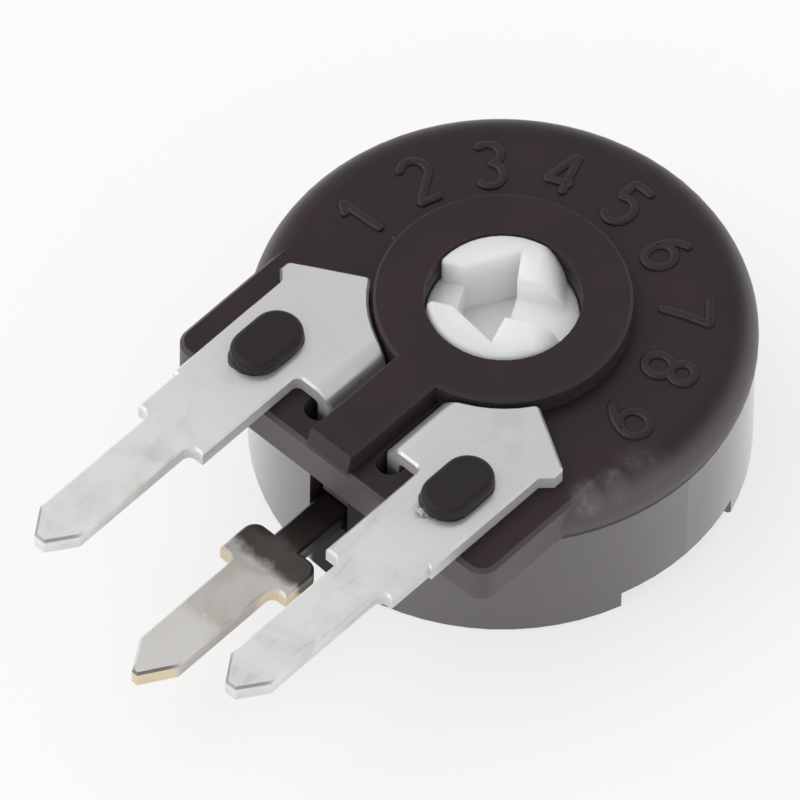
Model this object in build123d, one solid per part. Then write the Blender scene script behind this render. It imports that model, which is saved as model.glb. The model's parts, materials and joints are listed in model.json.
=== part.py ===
from build123d import *
import os

# Trimmer potentiometer of the ten millimetre class, with three flat pins.
# Millimetres. Z runs along the rotor's axis, out of the face with the adjusting socket.
# The pins point along -Y, and Z is zero where the cup stands on its back.

# Fits and cuts
running_gap = 0.05        # between the rotor and its two bores, and over its flange
seat_gap = 0.04           # round a piece that drops into a seat
contact_gap = 0.02        # under the contact points of the wiper
slot_gap = 0.07           # between a terminal and the moulding beside it
cut_overrun = 1.0         # how far a cutting tool runs past the wall that it cuts

# Terminal cover: a disc with a squared front that carries the end terminals
cover_radius = 5.0
cover_thickness = 0.88
cover_rim_round = 0.65
ear_set_in = 0.85         # of the squared front's sides from the disc's edge
ear_corner_round = 0.4
ear_edge_bevel = 0.08
hub_wall = 0.99           # round the bore for the rotor
hub_rise = 0.44
hub_edge_bevel = 0.06
rib_half_width = 0.53
rib_front_set_back = 0.12
rib_edge_bevel = 0.05
spigot_depth = 0.36
spigot_width = 0.3
spigot_gap_half_width = 1.5
tongue_side_gap = 0.14
tongue_set_back = 0.25
tongue_width = 0.26
stop_width = 0.65
stop_depth = 0.42

# Housing cup
cup_set_back = 0.05       # of its wall from the cover's edge
cup_wall = 0.55
cup_height = 2.95
cup_edge_bevel = 0.06
seam_bevel = 0.08         # on both mouldings, so that the seam between them shows as a groove
foot_height = 0.47
foot_width = 0.65
foot_notch_half_angle = 18.5
window_half_width = 0.5

# Terminal sheet, and how far its pins reach out from the cover's front
sheet = 0.36
die_roll = 0.05           # bevel that the punch leaves on the upper edges
pin_reach = 5.4
shoulder_reach = 1.76
shoulder_round = 0.18

# End terminals, with places on Y set in from the cover's front
half_pitch = 2.54
end_pin_step = 0.37       # from the strip's side in to the pin's side
end_tip_length = 0.58
end_tip_blunt = 0.26
end_strip_width = 1.8
strip_step = 0.07
strip_step_reach = 0.7
head_hub_gap = 0.08
head_step_set_in = 2.55
head_shoulder = 0.22      # how far the head stands out past the strip
head_side_length = 0.25
head_slant_width = 1.8    # of the head's slanted side, run on to the front line of the head
head_slant_rise = 1.04
head_corner_round = 0.12
wing_set_in = 0.9
flap_slot_set_in = 0.5
flap_rib_gap = 0.19
notch_round = 0.14
bend_inner_radius = 0.1

# Stakes that hold the end terminals
stake_set_in = 1.0
stake_length = 1.62
stake_width = 1.06
stake_overlap = 0.07
stake_rise = 0.27
stake_round = 0.13

# Wiper terminal with its collector ring
wiper_top_drop = 2.0      # how far its sheet lies below the sheet of the end terminals
collector_stem_gap = 0.55
collector_width = 0.9
neck_half_width = 0.34
crossbar_half_width = 0.88
crossbar_reach = 1.15     # out from the cup's wall
crossbar_depth = 0.96
crossbar_round = 0.28
wiper_pin_width = 1.02
wiper_tip_length = 0.7
wiper_tip_blunt = 0.14

# Resistive element
track_edge_margin = 0.25
track_width = 0.9
track_thickness = 0.03
track_half_angle = 110.0
pad_end_angle = 167.5
substrate_thickness = 0.38
substrate_stem_gap = 0.25

# Rotor
stem_radius = 1.2
stem_set_back = 0.1       # from the underside of the cup's floor
boss_radius = 1.5
boss_rise = 0.05          # above the hub
boss_edge_round = 0.12
flange_width = 0.95
flange_cover_gap = 0.08
lug_reach = 0.75
lug_half_angle = 12.0
lug_set_up = 0.06         # of the lug's underside above the flange's underside
travel_angle = 235.0
stop_gap_angle = 0.4      # left between the lug and the stop at each end of the travel

# Adjusting socket: a slot across the boss with an arrow head over its middle
socket_angle = 28.0       # of the slot from +X, as the arrow's tail points
socket_slot_half_width = 0.47
socket_slot_depth = 0.65
socket_depth = 1.45
arrow_barb_wall = 0.38    # left between an arrow's barb and the side of the boss
arrow_barb_place = 0.06   # of the barbs' tips from the axis, towards the tail
arrow_barb_sweep = 0.1     # of the arrow's rear edge, from the barbs' tips to the slot
arrow_head_length = 0.95
socket_edge_round = 0.09
tail_turn = 12.0          # of the low land at the arrow's tail, on from the slot
tail_land_reach = 1.22    # from the axis to that land
tail_ramp_run = 0.55      # of the rounded ramp from the boss's top down to it
tail_ramp_bulge = 0.1

# Wiper spring
spring_sheet = 0.1
spring_ring_width = 0.5
outer_slope_length = 0.9
outer_tip_length = 0.27
outer_tip_rise = 0.13
outer_finger_width = 0.42
outer_finger_split = 0.16
inner_slope_length = 0.38
inner_tip_length = 0.22
inner_tip_rise = 0.07
inner_finger_drop = 0.12   # of the contact point below the spring's ring
inner_finger_width = 0.6

# Radii that follow from these
cup_radius = cover_radius - cup_set_back
cup_inner_radius = cup_radius - cup_wall
foot_inner_radius = cup_radius - foot_width
cover_bore_radius = boss_radius + running_gap
hub_radius = cover_bore_radius + hub_wall
flange_radius = boss_radius + flange_width
lug_radius = flange_radius + lug_reach
stop_inner_radius = flange_radius + slot_gap
collector_inner_radius = stem_radius + collector_stem_gap
collector_outer_radius = collector_inner_radius + collector_width
inner_contact_radius = collector_inner_radius + collector_width / 2
track_outer_radius = cup_inner_radius - track_edge_margin
track_inner_radius = track_outer_radius - track_width
outer_contact_radius = track_inner_radius + track_width / 2
arrow_barb_reach = boss_radius - arrow_barb_wall

# Places on X and Y that follow
front_y = -cover_radius
ear_half_width = cover_radius - ear_set_in
pin_tip_y = front_y - pin_reach
shoulder_y = front_y - shoulder_reach
strip_step_y = front_y - strip_step_reach
stake_y = front_y + stake_set_in
wing_front_y = front_y + wing_set_in
flap_slot_front_y = front_y + flap_slot_set_in
head_step_y = front_y + head_step_set_in
head_outer_y = head_step_y + head_side_length
head_peak_y = head_outer_y + head_slant_rise
strip_inner_x = half_pitch - end_strip_width / 2
strip_outer_x = half_pitch + end_strip_width / 2
end_pin_width = end_strip_width - 2 * end_pin_step
head_outer_x = strip_outer_x + head_shoulder
head_peak_x = head_outer_x - head_slant_width
head_inner_x = rib_half_width + flap_rib_gap
crossbar_back_y = -cup_radius - crossbar_reach
crossbar_front_y = crossbar_back_y - crossbar_depth

# Levels that follow
cover_top = cup_height + cover_thickness
hub_top = cover_top + hub_rise
end_sheet_top = cover_top + sheet
stake_top = end_sheet_top + stake_rise
wiper_sheet_top = end_sheet_top - wiper_top_drop
substrate_top = wiper_sheet_top - sheet
cup_floor_top = substrate_top - substrate_thickness
track_top = substrate_top + track_thickness
flange_top = cup_height - flange_cover_gap
spring_low = wiper_sheet_top + contact_gap + inner_finger_drop
flange_bottom = spring_low + spring_sheet

# Directions
stop_half_angle = 180.0 - travel_angle / 2 - lug_half_angle - stop_gap_angle
front_angle = -90.0
back_angle = 90.0
sides = {"left": -1, "right": 1}


def column(radius, low, high):
    """Cylinder on the rotor's axis between two levels."""
    return slab(Circle(radius), low, high)


def slab(outline, low, high):
    """Plate of a flat outline between two levels."""
    return Pos(0, 0, low) * extrude(outline, high - low)


def strip_outline(half_width, front, back):
    """Rectangle across the YZ plane, between two places on Y."""
    return Pos(0, (front + back) / 2) * Rectangle(2 * half_width, back - front)


def block(half_width, front, back, low, high):
    """Box across the YZ plane, between two places on Y and two levels."""
    return slab(strip_outline(half_width, front, back), low, high)


def ring_sector(inner, outer, middle, half_angle):
    """Flat sector of a ring about a middle direction, in degrees from +X."""
    start = middle - half_angle
    outer_arc = CenterArc((0, 0), outer, start, 2 * half_angle)
    inner_arc = CenterArc((0, 0), inner, start, 2 * half_angle)
    ends = [Line(outer_arc @ 0, inner_arc @ 0), Line(outer_arc @ 1, inner_arc @ 1)]
    return make_face([outer_arc, inner_arc, *ends])


def outline_of(points):
    """Flat face inside a closed run of straight sides."""
    return make_face(Polyline(*points, close=True))


def round_corners(face, points, radius):
    """Rounds the corners of a flat face that lie nearest to the given points."""
    corners = [face.vertices().sort_by_distance((x, y, 0))[0] for x, y in points]
    return fillet(corners, radius)


def top_edges(solid, level):
    """Edges of a solid that lie flat at one level."""
    return solid.edges().filter_by_position(Axis.Z, level, level)


def oval(length, width, x):
    """Outline of a stake, long along Y, at its place on the cover."""
    return Pos(x, stake_y) * Rot(0, 0, 90) * SlotOverall(length, width)


def flap_slot(side):
    """Slot in the cover beside the rib, where an end terminal's flap goes down."""
    width = sheet + bend_inner_radius + 2 * slot_gap
    middle = side * (head_inner_x - slot_gap + width / 2)
    slot = Pos(middle, flap_slot_front_y / 2) * Rot(0, 0, 90) * SlotOverall(-flap_slot_front_y, width)
    return slot - Circle(hub_radius)


def terminal_cover():
    """Cover moulding: disc, squared front, hub, rib, stakes, spigot, tongue and stop."""
    disc = column(cover_radius, cup_height, cover_top)
    disc = fillet(top_edges(disc, cover_top), cover_rim_round)
    disc = chamfer(top_edges(disc, cup_height), seam_bevel)
    front = block(ear_half_width, front_y, 0, cup_height, cover_top)
    corners = front.edges().filter_by(Axis.Z).group_by(Axis.Y)[0]
    front = fillet(corners, ear_corner_round)
    rim = top_edges(front, cover_top) - top_edges(front, cover_top).group_by(Axis.Y)[-1]
    front = chamfer(rim, ear_edge_bevel)
    cover = disc + front

    hub = column(hub_radius, cover_top, hub_top)
    rib_side = [
        (0, cover_top),
        (front_y, cover_top),
        (front_y + rib_front_set_back, hub_top),
        (0, hub_top),
    ]
    rib = extrude(Plane.YZ * outline_of(rib_side), rib_half_width, both=True)
    rib = chamfer(top_edges(rib, hub_top).filter_by(Axis.Y), rib_edge_bevel)
    hub = chamfer(top_edges(hub, hub_top), hub_edge_bevel)
    cover += hub + rib

    for side in sides.values():
        shank = oval(stake_length - 2 * stake_overlap, stake_width - 2 * stake_overlap, side * half_pitch)
        head = oval(stake_length, stake_width, side * half_pitch)
        head = slab(head, end_sheet_top, stake_top)
        head = fillet(top_edges(head, stake_top), stake_round)
        cover += slab(shank, cover_top, end_sheet_top) + head

    spigot_outer = cup_inner_radius - seat_gap
    spigot = column(spigot_outer, cup_height - spigot_depth, cup_height)
    spigot -= column(spigot_outer - spigot_width, cup_height - spigot_depth, cup_height)
    spigot -= block(spigot_gap_half_width, -cup_radius, 0, cup_height - spigot_depth, cup_height)
    stop_outer_radius = stop_inner_radius + stop_width
    stop = ring_sector(stop_inner_radius, stop_outer_radius, front_angle, stop_half_angle)
    tongue_front = -cup_radius + tongue_set_back
    tongue_low = wiper_sheet_top + slot_gap
    tongue_half = window_half_width - tongue_side_gap
    tongue = block(tongue_half, tongue_front, tongue_front + tongue_width, tongue_low, cup_height)
    cover += spigot + slab(stop, cup_height - stop_depth, cup_height) + tongue

    cover -= column(cover_bore_radius, cup_height - cut_overrun, hub_top + cut_overrun)
    for side in sides.values():
        cover -= slab(flap_slot(side), cup_height - cut_overrun, cover_top)
    return cover


def housing_cup():
    """Cup moulding: wall, floor with a bore, standing ring with two notches, front window."""
    cup = column(cup_radius, 0, cup_height)
    cup = chamfer(top_edges(cup, 0), cup_edge_bevel)
    cup = chamfer(top_edges(cup, cup_height), seam_bevel)
    cup -= column(cup_inner_radius, cup_floor_top, cup_height)
    cup -= column(foot_inner_radius, 0, foot_height)
    cup -= column(stem_radius + running_gap, 0, cup_floor_top)
    for middle in (0, 180):
        notch = ring_sector(foot_inner_radius, cup_radius + cut_overrun, middle, foot_notch_half_angle)
        cup -= slab(notch, 0, foot_height)
    cup -= block(window_half_width, -cup_radius - cut_overrun, -stem_radius, substrate_top, cup_height)
    return cup


def pin_outline(middle, width, tip_length, tip_blunt, root_y):
    """Flat outline of a pin with a blunt pointed tip."""
    half = width / 2
    blunt = tip_blunt / 2
    points = [
        (middle - half, root_y),
        (middle - half, pin_tip_y + tip_length),
        (middle - blunt, pin_tip_y),
        (middle + blunt, pin_tip_y),
        (middle + half, pin_tip_y + tip_length),
        (middle + half, root_y),
    ]
    return outline_of(points)


def end_terminal(side):
    """Stamped end terminal: head round the hub, strip, pin, and a flap bent down at the inner edge."""
    bend_x = head_inner_x + sheet + bend_inner_radius
    head = outline_of([
        (bend_x, wing_front_y),
        (bend_x, head_peak_y),
        (head_peak_x, head_peak_y),
        (head_outer_x, head_outer_y),
        (head_outer_x, head_step_y),
        (strip_outer_x, head_step_y - head_shoulder),
        (strip_outer_x, wing_front_y),
    ])
    strip = outline_of([
        (strip_inner_x, wing_front_y),
        (strip_outer_x, wing_front_y),
        (strip_outer_x, strip_step_y),
        (strip_outer_x - strip_step, strip_step_y),
        (strip_outer_x - strip_step, shoulder_y),
        (strip_inner_x, shoulder_y),
    ])
    hub_side = Circle(hub_radius + head_hub_gap)
    pin = pin_outline(half_pitch, end_pin_width, end_tip_length, end_tip_blunt, shoulder_y)
    flat = head - hub_side + strip + pin
    pin_corners = [(half_pitch + edge * end_pin_width / 2, shoulder_y) for edge in sides.values()]
    flat = round_corners(flat, [(strip_inner_x, wing_front_y)], notch_round)
    flat = round_corners(flat, pin_corners, shoulder_round)
    head_corners = [(head_peak_x, head_peak_y), (head_outer_x, head_outer_y)]
    flat = round_corners(flat, head_corners, head_corner_round)
    hole_play = 2 * (stake_overlap - seat_gap)
    flat -= oval(stake_length - hole_play, stake_width - hole_play, half_pitch)
    plate = slab(flat, cover_top, end_sheet_top)

    bend_z = end_sheet_top - sheet - bend_inner_radius
    bend = ring_sector(bend_inner_radius, bend_inner_radius + sheet, 135, 45)
    leg = outline_of([
        (head_inner_x, bend_z),
        (head_inner_x + sheet, bend_z),
        (head_inner_x + sheet, track_top),
        (head_inner_x, track_top),
    ])
    section = Pos(bend_x, bend_z) * bend + leg
    flap = extrude(Plane.XZ * section, -wing_front_y)
    flap -= column(hub_radius + head_hub_gap, 0, end_sheet_top)
    terminal = plate + flap
    upper_face = terminal.faces().filter_by_position(Axis.Z, end_sheet_top, end_sheet_top)[0]
    outline = upper_face.outer_wire().edges()
    rolled = [edge for edge in outline if abs(edge.center().X - bend_x) > die_roll]
    terminal = chamfer(rolled, die_roll)
    return terminal if side > 0 else mirror(terminal, about=Plane.YZ)


def wiper_terminal():
    """Stamped wiper terminal: collector ring, neck, crossbar and pin in one sheet."""
    ring = Circle(collector_outer_radius) - Circle(collector_inner_radius)
    neck = strip_outline(neck_half_width, crossbar_back_y, -inner_contact_radius)
    bar = strip_outline(crossbar_half_width, crossbar_front_y, crossbar_back_y)
    pin = pin_outline(0, wiper_pin_width, wiper_tip_length, wiper_tip_blunt, crossbar_front_y)
    flat = ring + neck + bar + pin
    bar_corners = [(edge * crossbar_half_width, crossbar_back_y) for edge in sides.values()]
    pin_corners = [(edge * wiper_pin_width / 2, crossbar_front_y) for edge in sides.values()]
    flat = round_corners(flat, bar_corners, crossbar_round)
    flat = round_corners(flat, pin_corners, shoulder_round)
    terminal = slab(flat, wiper_sheet_top - sheet, wiper_sheet_top)
    return chamfer(top_edges(terminal, wiper_sheet_top), die_roll)


def track_substrate():
    """Laminate disc that carries the printed track."""
    disc = Circle(cup_inner_radius - seat_gap) - Circle(stem_radius + substrate_stem_gap)
    return slab(disc, cup_floor_top, substrate_top)


def carbon_track():
    """Printed carbon horseshoe on the laminate."""
    track = ring_sector(track_inner_radius, track_outer_radius, back_angle, track_half_angle)
    return slab(track, substrate_top, track_top)


def silver_pad(side):
    """Printed silver pad from one end of the track to the flap of its terminal."""
    half_angle = (pad_end_angle - track_half_angle) / 2
    middle = back_angle - side * (track_half_angle + half_angle)
    pad = ring_sector(track_inner_radius, track_outer_radius, middle, half_angle)
    return slab(pad, substrate_top, track_top)


def rotor():
    """Rotor moulding: stem, flange with a stop lug, and a boss with the arrow socket."""
    boss_top = hub_top + boss_rise
    boss = column(boss_radius, flange_top, boss_top)
    boss = fillet(top_edges(boss, boss_top), boss_edge_round)
    body = boss + column(flange_radius, flange_bottom, flange_top)
    body += column(stem_radius, foot_height + stem_set_back, flange_bottom)
    lug = ring_sector(boss_radius, lug_radius, back_angle, lug_half_angle)
    body += slab(lug, flange_bottom + lug_set_up, flange_top)

    slot = Rectangle(2 * (boss_radius + cut_overrun), 2 * socket_slot_half_width)
    rear = arrow_barb_place + arrow_barb_sweep
    nose = arrow_barb_place - arrow_head_length
    arrow = outline_of([
        (rear, -socket_slot_half_width),
        (arrow_barb_place, -arrow_barb_reach),
        (nose, -socket_slot_half_width),
        (nose, socket_slot_half_width),
        (arrow_barb_place, arrow_barb_reach),
        (rear, socket_slot_half_width),
    ])
    turn = Rot(0, 0, socket_angle)
    slot_floor = boss_top - socket_slot_depth
    body -= turn * slab(slot, slot_floor, boss_top)
    body -= turn * slab(arrow, boss_top - socket_depth, boss_top)
    body = fillet(top_edges(body, boss_top).filter_by(GeomType.LINE), socket_edge_round)

    ramp_head = (tail_land_reach - tail_ramp_run, boss_top)
    ramp_foot = (tail_land_reach, slot_floor)
    past_rim = boss_radius + cut_overrun
    ramp = SagittaArc(ramp_head, ramp_foot, tail_ramp_bulge)
    over = Polyline(ramp_foot, (past_rim, slot_floor), (past_rim, boss_top), ramp_head)
    tail = extrude(Plane.XZ * make_face([ramp, over]), past_rim, both=True)
    return body - Rot(0, 0, socket_angle + tail_turn) * tail


def finger_side(radii, contact_z, tip_rise):
    """Side view of one spring finger along a radius: flat root, slope, contact point, turned-up tip."""
    root, knee, contact, tip = radii
    lower = [(root, spring_low), (knee, spring_low), (contact, contact_z), (tip, contact_z + tip_rise)]
    upper = [(r, z + spring_sheet) for r, z in reversed(lower)]
    return outline_of(lower + upper)


def wiper_spring():
    """Formed contact spring under the flange: a ring, two fingers on the track, two on the collector."""
    ring_inner = stem_radius + contact_gap
    ring = Circle(ring_inner + spring_ring_width) - Circle(ring_inner)
    spring = slab(ring, spring_low, flange_bottom)
    root = ring_inner + spring_ring_width / 2
    outer_knee = outer_contact_radius - outer_slope_length
    outer_tip = outer_contact_radius + outer_tip_length
    outer_radii = (root, outer_knee, outer_contact_radius, outer_tip)
    outer = finger_side(outer_radii, track_top + contact_gap, outer_tip_rise)
    inner_knee = inner_contact_radius - inner_slope_length
    inner_tip = inner_contact_radius + inner_tip_length
    inner_radii = (root, inner_knee, inner_contact_radius, inner_tip)
    inner = finger_side(inner_radii, wiper_sheet_top + contact_gap, inner_tip_rise)
    offset = (outer_finger_split + outer_finger_width) / 2
    for side in sides.values():
        finger = extrude(Plane.YZ * outer, outer_finger_width / 2, both=True)
        spring += Pos(side * offset, 0, 0) * finger
        finger = extrude(Plane.XZ * inner, inner_finger_width / 2, both=True)
        spring += finger if side > 0 else mirror(finger, about=Plane.YZ)
    return spring


os.makedirs("parts", exist_ok=True)
nodes = {
    "housing_cup": housing_cup(),
    "terminal_cover": terminal_cover(),
    "wiper_terminal": wiper_terminal(),
    "track_substrate": track_substrate(),
    "carbon_track": carbon_track(),
    "rotor": rotor(),
    "wiper_spring": wiper_spring(),
}
for name, side in sides.items():
    nodes["end_terminal_" + name] = end_terminal(side)
    nodes["silver_pad_" + name] = silver_pad(side)
for name, shape in nodes.items():
    export_step(shape, os.path.join("parts", name + ".step"))
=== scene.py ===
import json
import math

import bpy
import numpy as np
from bpy.props import FloatProperty, FloatVectorProperty, IntProperty, PointerProperty
from mathutils import Matrix, Vector

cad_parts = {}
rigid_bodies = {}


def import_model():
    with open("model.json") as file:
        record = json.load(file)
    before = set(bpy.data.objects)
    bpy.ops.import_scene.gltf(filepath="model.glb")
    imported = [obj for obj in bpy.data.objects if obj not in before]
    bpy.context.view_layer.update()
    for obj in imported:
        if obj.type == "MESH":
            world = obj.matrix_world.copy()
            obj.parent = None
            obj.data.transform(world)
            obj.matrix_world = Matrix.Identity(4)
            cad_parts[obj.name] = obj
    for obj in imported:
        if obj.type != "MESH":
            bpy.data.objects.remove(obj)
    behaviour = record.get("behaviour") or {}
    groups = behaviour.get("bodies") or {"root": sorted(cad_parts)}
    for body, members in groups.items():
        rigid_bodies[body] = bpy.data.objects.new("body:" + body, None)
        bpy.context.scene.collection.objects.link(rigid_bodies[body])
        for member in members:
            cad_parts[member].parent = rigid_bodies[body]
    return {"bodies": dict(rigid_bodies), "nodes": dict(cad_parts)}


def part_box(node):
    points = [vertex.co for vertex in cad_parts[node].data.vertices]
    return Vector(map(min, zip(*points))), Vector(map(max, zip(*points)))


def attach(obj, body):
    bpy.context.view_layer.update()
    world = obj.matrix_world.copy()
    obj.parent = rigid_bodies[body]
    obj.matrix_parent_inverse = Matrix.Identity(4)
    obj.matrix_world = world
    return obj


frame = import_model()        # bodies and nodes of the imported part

bl_info = {
    "name": "Trimmer potentiometer finish",
    "version": (1, 0, 0),
    "blender": (4, 5, 0),
    "location": "3D View > Sidebar > Trimmer",
    "description": "Dresses the solids of a small round trimmer and sets it on a studio stage",
    "category": "Object",
}

MM = 0.001                # the frame is in metres, and the part is thought of in millimetres
PHOTO_SIDE = 800          # pixels along one side of the square picture
SENSOR = 36.0             # millimetres, the camera's sensor width
SHEET = 0.36 * MM         # thickness of the stamped terminals
SIDES = (-1, 1)           # left and right


def mm(*values):
    """Millimetres as a tuple in metres."""
    return tuple(value * MM for value in values)


# Tones of wear and dirt, and of painted light and shade, as linear red, green and blue

# painted highlight along the edges of the black mouldings
PLASTIC_EDGE_HIGHLIGHT = (0.075, 0.066, 0.064)
DUST = (0.28, 0.26, 0.25)
# painted light on the cover's rim and sides
PAINTED_RIM_LIGHT = (0.115, 0.099, 0.102)
FROST = (0.2, 0.18, 0.18)
MELTED = (0.006, 0.0052, 0.005)
# painted shade on the cup
PAINTED_SHADE = (0.006, 0.005, 0.005)
PITTED_TIN = (0.95, 0.945, 0.93)
# painted highlight along the edges of the tinned sheets
TIN_EDGE_HIGHLIGHT = (0.95, 0.94, 0.92)
FLAP_SHADE = (0.16, 0.15, 0.145)
RECESS_SHADE = (0.05, 0.045, 0.045)
# painted dark reflection on the roll at the end terminals' tips
END_TIP_DARK_REFLECTION = (0.16, 0.155, 0.15)
STAKE_SMEAR = (0.10, 0.085, 0.08)
DIPPED_TIN = (0.84, 0.83, 0.81)
# painted shade on the wiper pin's sheared sides
PIN_SIDE_SHADE = (0.33, 0.30, 0.27)
# painted dark reflection on the roll at the wiper terminal's tip
WIPER_TIP_DARK_REFLECTION = (0.09, 0.075, 0.07)
# painted shade and dark reflection on the wiper terminal's crossbar and neck
CROSSBAR_SHADE = (0.043, 0.036, 0.034)
NECK_SHADE = (0.02, 0.015, 0.013)
# painted light inside the rotor's socket
SOCKET_PAINTED_LIGHT = (0.97, 0.97, 0.975)

# Slopes, as ranges of a normal's Z, and the range that holds most of a noise's values

DUST_SLOPE = (0.5, 0.9)
RIM_SLOPE = (0.5, 0.99)
SIDE_SLOPE = (0.15, 0.45)
ROLL_FOOT = (0.3, 0.5)
ROLL_TOP = (0.8, 0.97)
RECESS_SLOPE = (0.6, 0.98)
MID_TONE = (0.3, 0.7)

# Bands over which a mark begins or ends, in metres along one axis

NECK_LEFT = mm(-0.55, -0.35)        # X, painted shade on the cup by the wiper terminal's neck
NECK_RIGHT = mm(1.2, 1.8)           # X, the other end of that painted shade
FRONT_WALL = mm(-4.6, -4.5)         # Y, the cup's wall on the side of the pins
HEAD_FADE = mm(-8.0, -2.5)          # Y, end terminals from pin to head
RECESS_SIDE = mm(-3.44, -3.40)      # X, outer side of the left head
RECESS_FRONT = mm(-3.6, -3.3)       # Y, front of the recess beside that head
END_TIP = mm(-9.95, -9.6)           # Y, tips of the end terminals
WIPER_TIP = mm(-9.9, -9.5)          # Y, tip of the wiper terminal
WIPER_POINT = mm(-0.16, -0.04)      # X, left of that tip's point
WIPER_DIP = mm(-8.9, -8.4)          # Y, upper end of its dipped tin
WIPER_BAR = mm(-7.7, -7.2)          # Y, its crossbar's near side
CROSSBAR_SHADE_START = mm(-6.84, -6.56)    # Y, painted shade on its crossbar
NECK_SHADE_START = mm(-6.3, -5.95)       # Y, darker painted shade on its neck

# Bands along Z, in metres from a piece's own level

HUB_STEP = mm(-0.01, 0.03)          # from the cover's flat ring
STAKE_FOOT = mm(0.34, 0.38)         # from the cover's flat ring
CUP_GROOVE = mm(-0.11, -0.085)      # from the cup's mouth, for the painted shade in its groove
FLAP_BEND = mm(-0.8, -0.55)         # from the end terminals' top
BURNISH_END = mm(-0.03, 0.03)       # from the middle of a sheet
ROTOR_TOP = mm(-0.3, -0.05)         # from the rotor's top

# Round marks: X and Y where they have a place of their own, then radius and softness, in metres

STAKE_HEAD = mm(1.0, 0.05)
STAKE_RING = mm(0.86, 0.2)
HEAD_STAIN = (mm(2.3, -2.3), mm(0.55, 0.4))
SMEAR_SPOT = (mm(2.42, -4.78), mm(0.2, 0.13))
FROST_SPOTS = (           # centre, radius, softness and share of the spots of one patch by the right ear
    (mm(4.25, -2.1, 3.68), 0.3 * MM, 0.2 * MM, 1.0),
    (mm(4.45, -1.55, 3.72), 0.3 * MM, 0.22 * MM, 0.8),
    (mm(4.6, -0.9, 3.72), 0.4 * MM, 0.4 * MM, 0.4),
)

# Pieces inside the housing: material, colour, roughness, metallic and grain size in millimetres

INNER_FINISHES = {
    ("track_substrate",): ("laminate", (0.30, 0.17, 0.07), 0.45, 0.0, 0.1),
    ("carbon_track",): ("carbon", (0.02, 0.02, 0.021), 0.55, 0.0, 0.03),
    ("silver_pad_left", "silver_pad_right"): ("silver_print", (0.72, 0.71, 0.68), 0.4, 1.0, 0.04),
    ("wiper_spring",): ("spring_bronze", (0.62, 0.40, 0.19), 0.3, 1.0, 0.2),
}


# Kinds of settings

def colour_setting(name, description, default):
    """Colour that a user can change."""
    return FloatVectorProperty(
        name=name, description=description, subtype="COLOR", size=3, min=0, max=1, default=default)


def share_setting(name, description, default):
    """Share from 0 to 1 that a user can change."""
    return FloatProperty(
        name=name, description=description, subtype="FACTOR", min=0, max=1, default=default)


def length_setting(name, description, default):
    """Length in metres that a user can change."""
    return FloatProperty(
        name=name, description=description, subtype="DISTANCE", unit="LENGTH", default=default)


def angle_setting(name, description, degrees):
    """Angle that a user can change, given in degrees."""
    return FloatProperty(
        name=name, description=description, subtype="ANGLE", unit="ROTATION",
        default=math.radians(degrees))


def place_setting(name, description, default):
    """Point in metres that a user can change, on as many axes as its default has."""
    return FloatVectorProperty(
        name=name, description=description, subtype="TRANSLATION", unit="LENGTH",
        size=len(default), default=default)


# Settings that a user would change

class MouldingSettings(bpy.types.PropertyGroup):
    """Finish of the two black mouldings."""

    cover_colour: colour_setting(
        "Cover colour", "Base colour of the terminal cover", (0.0195, 0.0118, 0.0132))
    cup_colour: colour_setting(
        "Cup colour", "Base colour of the housing cup", (0.052, 0.043, 0.049))
    cover_roughness: share_setting("Cover roughness", "How matt the cover's mould left it", 0.42)
    cup_roughness: share_setting("Cup roughness", "How matt the cup's mould left it", 0.24)


class SheetSettings(bpy.types.PropertyGroup):
    """Finish of the stamped terminals."""

    tin_colour: colour_setting(
        "Tin colour", "Colour of the tin on the end terminals", (0.86, 0.855, 0.855))
    dull_tin_colour: colour_setting(
        "Dull tin colour", "Colour of the thinner tin on the wiper terminal", (0.64, 0.61, 0.575))
    brass_colour: colour_setting(
        "Brass colour", "Colour of the bare metal at the wiper terminal's sheared edges",
        (0.82, 0.66, 0.36))
    roughness: share_setting("Roughness", "How satin the tin is", 0.3)


class RotorSettings(bpy.types.PropertyGroup):
    """Finish of the white rotor."""

    colour: colour_setting("Colour", "Base colour of the rotor", (0.86, 0.865, 0.875))
    roughness: share_setting("Roughness", "How satin the rotor is", 0.38)
    glow_depth: length_setting("Glow depth", "How far light travels in the white plastic", 0.8 * MM)


class DialSettings(bpy.types.PropertyGroup):
    """Raised figures on the cover's flat ring."""

    count: IntProperty(
        name="Figures", description="How many figures, counted from 1", min=1, max=9, default=9)
    spread: angle_setting("Spread", "Angle between the first and the last figure", 188)
    foot_radius: length_setting(
        "Foot radius", "Distance of the figures' feet from the rotor's axis", 3.02 * MM)
    figure_height: length_setting("Figure height", "Height of a figure along the radius", 1.02 * MM)
    figure_width: length_setting("Figure width", "Width of a figure along the ring", 0.62 * MM)
    stroke_width: length_setting("Stroke width", "Width of a stroke at its foot", 0.19 * MM)
    stroke_rise: length_setting(
        "Stroke rise", "How far a stroke stands out of the cover", 0.055 * MM)
    stroke_sink: length_setting(
        "Stroke sink", "How far a stroke's foot lies in the cover", 0.02 * MM)


class StakeSettings(bpy.types.PropertyGroup):
    """Heads of the two stakes, and the thin flash that was pressed out round their feet."""

    place: place_setting("Place", "Middle of the right stake on X and Y", (2.54 * MM, -4.0 * MM))
    length: length_setting("Length", "Length of a stake's head", 1.62 * MM)
    width: length_setting("Width", "Width of a stake's head", 1.06 * MM)
    flash_width: length_setting("Flash width", "How far the flash runs out, at most", 0.07 * MM)
    flash_height: length_setting("Flash height", "How high the flash stands, at most", 0.06 * MM)


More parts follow.
